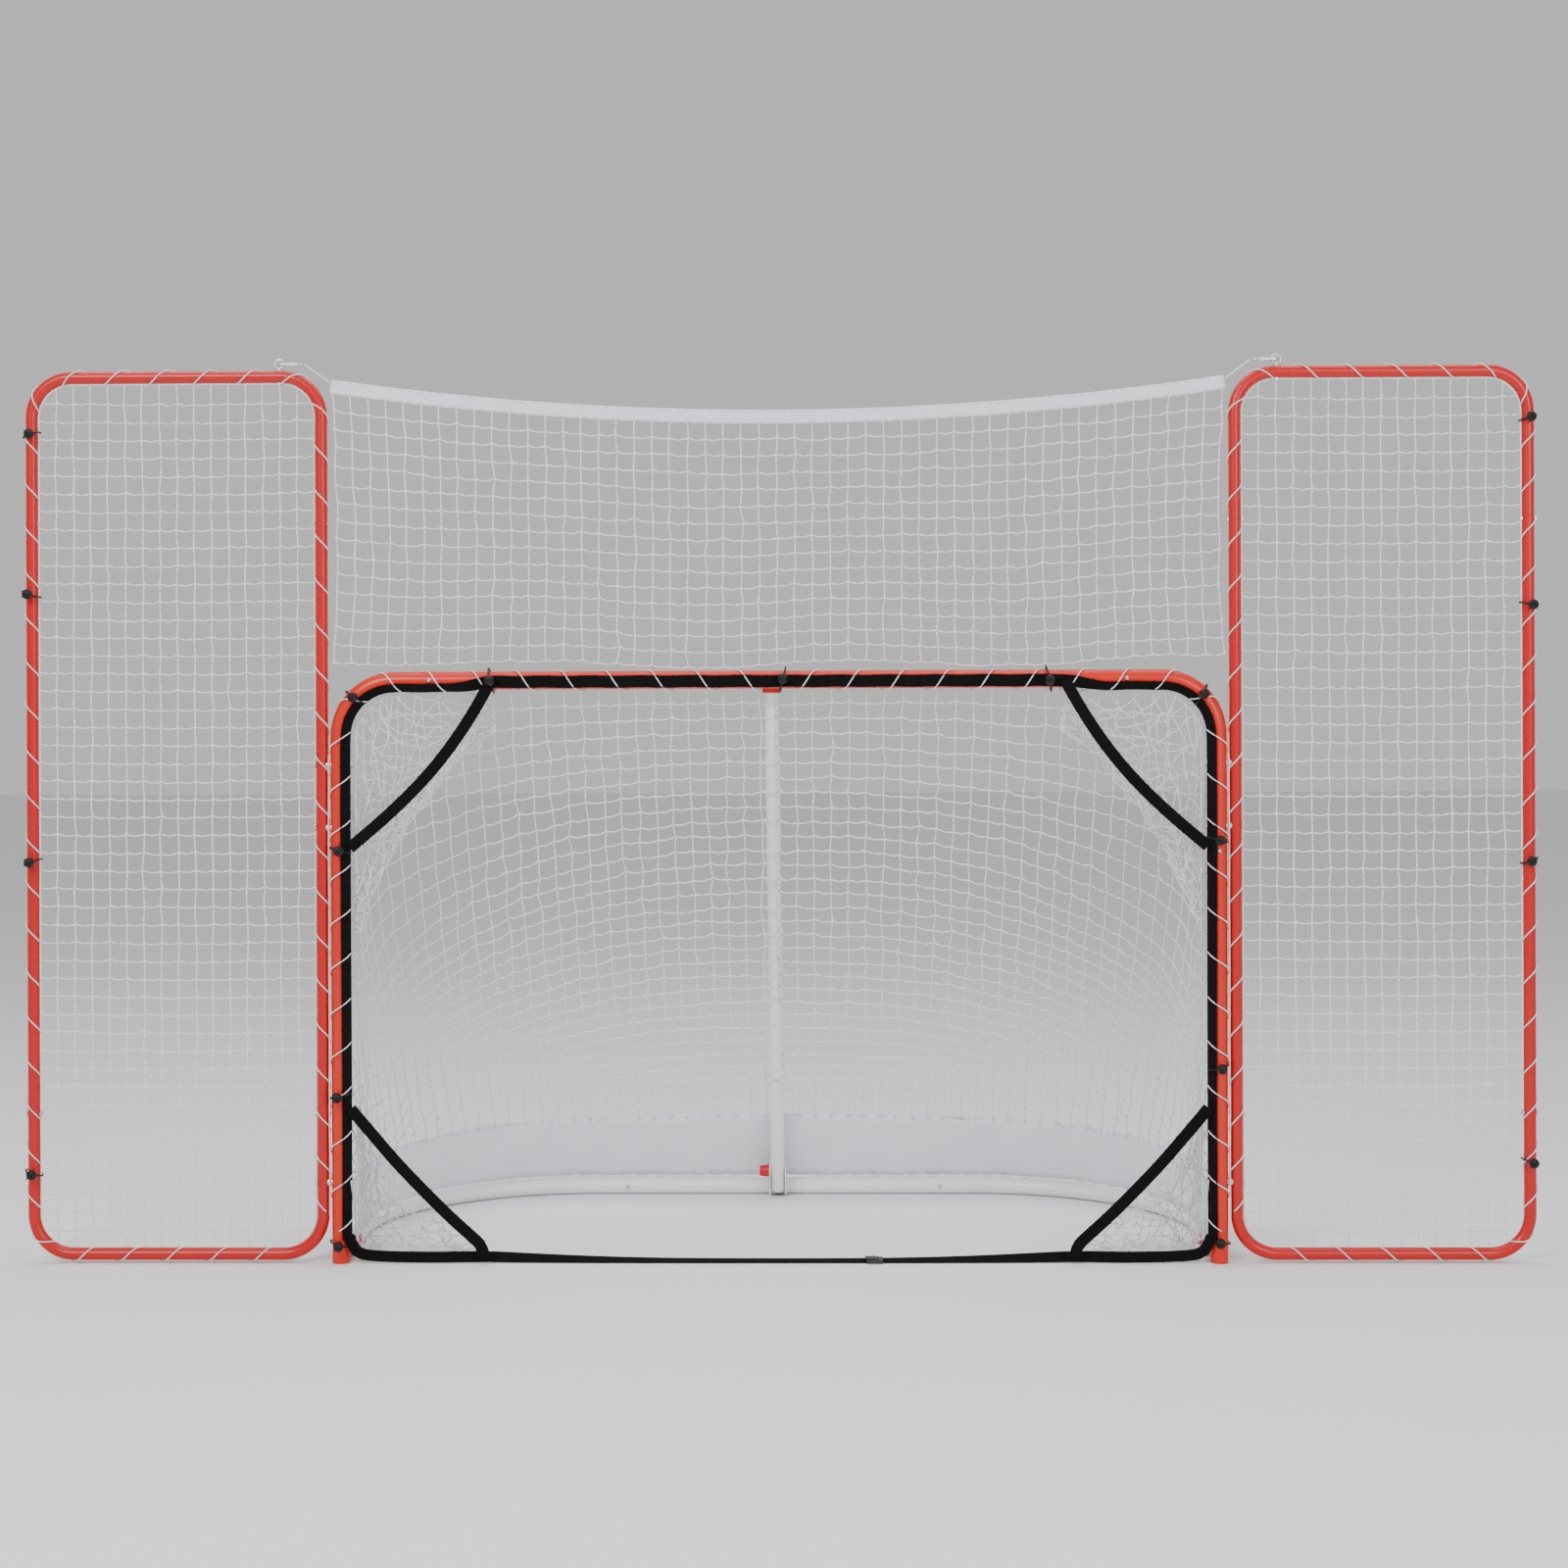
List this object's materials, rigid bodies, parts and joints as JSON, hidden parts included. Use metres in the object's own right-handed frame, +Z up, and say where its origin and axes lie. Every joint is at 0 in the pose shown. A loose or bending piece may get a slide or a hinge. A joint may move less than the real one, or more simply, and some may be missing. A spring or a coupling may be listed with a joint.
{
  "type": "hockey goal net with backstop",
  "caption": "Street hockey goal with a folding base, tall netted backstop wings and corner target pockets.",
  "frame": {"origin": "centre of the footprint, on the floor", "axes": "+X across the goal to the shooter's right, +Y towards the back of the net, +Z up"},
  "size_m": [3.2218, 0.8152, 1.926],
  "materials": {
    "red_paint": "gloss",
    "wing_paint": "gloss",
    "white_paint": "gloss",
    "zinc_steel": "satin",
    "white_net": "matte",
    "skirt_cloth": "matte",
    "black_webbing": "matte",
    "white_cord": "matte",
    "black_rubber": "satin",
    "black_plastic": "satin",
    "red_knob": "satin"
  },
  "bodies": {
    "front_frame": {"crossbar_tube": "red_paint", "corner_elbow_left": "red_paint", "corner_elbow_right": "red_paint", "post_lower_left": "red_paint", "post_lower_right": "red_paint", "frame_screws": "zinc_steel", "post_foot_plugs": "black_plastic", "hinge_bracket_left": "red_paint", "hinge_bracket_right": "red_paint", "hinge_pivot_bolts": "zinc_steel", "brace_top_bracket": "red_paint", "brace_pivot_bolt": "zinc_steel", "wing_joint_bolts": "zinc_steel", "wing_mount_bolts": "zinc_steel", "wing_spacers": "zinc_steel", "eye_bolts": "zinc_steel", "snap_hooks": "zinc_steel", "hem_tie_cords": "white_cord", "wing_net_left": "white_net", "wing_net_right": "white_net", "backstop_net_upper": "white_net", "backstop_hem": "skirt_cloth", "goal_net_back": "white_net", "goal_net_left": "white_net", "goal_net_right": "white_net", "skirt": "skirt_cloth", "pocket_upper_left": "black_webbing", "pocket_upper_right": "black_webbing", "pocket_lower_left": "black_webbing", "pocket_lower_right": "black_webbing", "webbing_edges": "black_webbing", "webbing_diagonals": "black_webbing", "goal_line_strap": "black_webbing", "buckle_frame": "black_plastic", "bungee_balls": "black_rubber", "bungee_loops": "black_rubber", "lacing_wings": "white_cord", "lacing_goal": "white_cord", "wing_left_bottom_bend": "wing_paint", "wing_left_inner_upright": "wing_paint", "wing_left_outer_upright": "wing_paint", "wing_left_top_bend": "wing_paint", "wing_right_bottom_bend": "wing_paint", "wing_right_inner_upright": "wing_paint", "wing_right_outer_upright": "wing_paint", "wing_right_top_bend": "wing_paint"},
    "base_frame": {"base_center_tube": "white_paint", "base_bend_left": "white_paint", "base_bend_right": "white_paint", "base_screws": "zinc_steel", "brace_foot_bracket": "white_paint", "lacing_base": "white_cord"},
    "brace_upper": {"brace_upper_tube": "white_paint"},
    "brace_lower": {"brace_lower_sleeve": "white_paint", "brace_clamp_screw": "zinc_steel"},
    "latch_plunger_body": {"latch_plunger": "zinc_steel", "latch_knob": "red_knob"},
    "snap_gate_l": {"snap_gate_left": "zinc_steel"},
    "snap_gate_r": {"snap_gate_right": "zinc_steel"},
    "buckle_lever_body": {"buckle_lever": "black_plastic"}
  },
  "joints": [
    {"name": "base_fold", "type": "hinge", "parent": "front_frame", "child": "base_frame", "pos_m": [0, -0.2386, 0.01905], "axis": [1, 0, 0], "range_deg": [0, 90], "deforming": ["goal_net_back", "goal_net_left", "goal_net_right", "skirt"]},
    {"name": "brace_swing", "type": "hinge", "parent": "front_frame", "child": "brace_upper", "pos_m": [-0.0135, -0.3166, 1.222], "axis": [1, 0, 0], "range_deg": [-30, 0]},
    {"name": "brace_telescope", "type": "slide", "parent": "brace_upper", "child": "brace_lower", "axis": [0, -0.4835, 0.8753], "range_m": [0, 0.3]},
    {"name": "latch_pull", "type": "slide", "parent": "base_frame", "child": "latch_plunger_body", "axis": [-1, 0, 0], "range_m": [0, 0.012], "stiffness_N_per_m": 500},
    {"name": "snap_gate_left_swing", "type": "hinge", "parent": "front_frame", "child": "snap_gate_l", "pos_m": [-1.029, -0.3651, 1.914], "axis": [0, 0, 1], "range_deg": [-20, 0], "stiffness_Nm_per_rad": 0.02},
    {"name": "snap_gate_right_swing", "type": "hinge", "parent": "front_frame", "child": "snap_gate_r", "pos_m": [1.029, -0.3651, 1.914], "axis": [0, 0, 1], "range_deg": [0, 20], "stiffness_Nm_per_rad": 0.02},
    {"name": "buckle_lever_turn", "type": "hinge", "parent": "front_frame", "child": "buckle_lever_body", "pos_m": [0.206, -0.3586, 0.006], "axis": [0, 1, 0], "range_deg": [0, 60]}
  ],
  "couplings": [
    {"joint": "brace_swing", "follows": "base_fold", "ratio": -0.3213},
    {"joint": "brace_telescope", "follows": "base_fold", "m_per_rad": 0.18462}
  ]
}
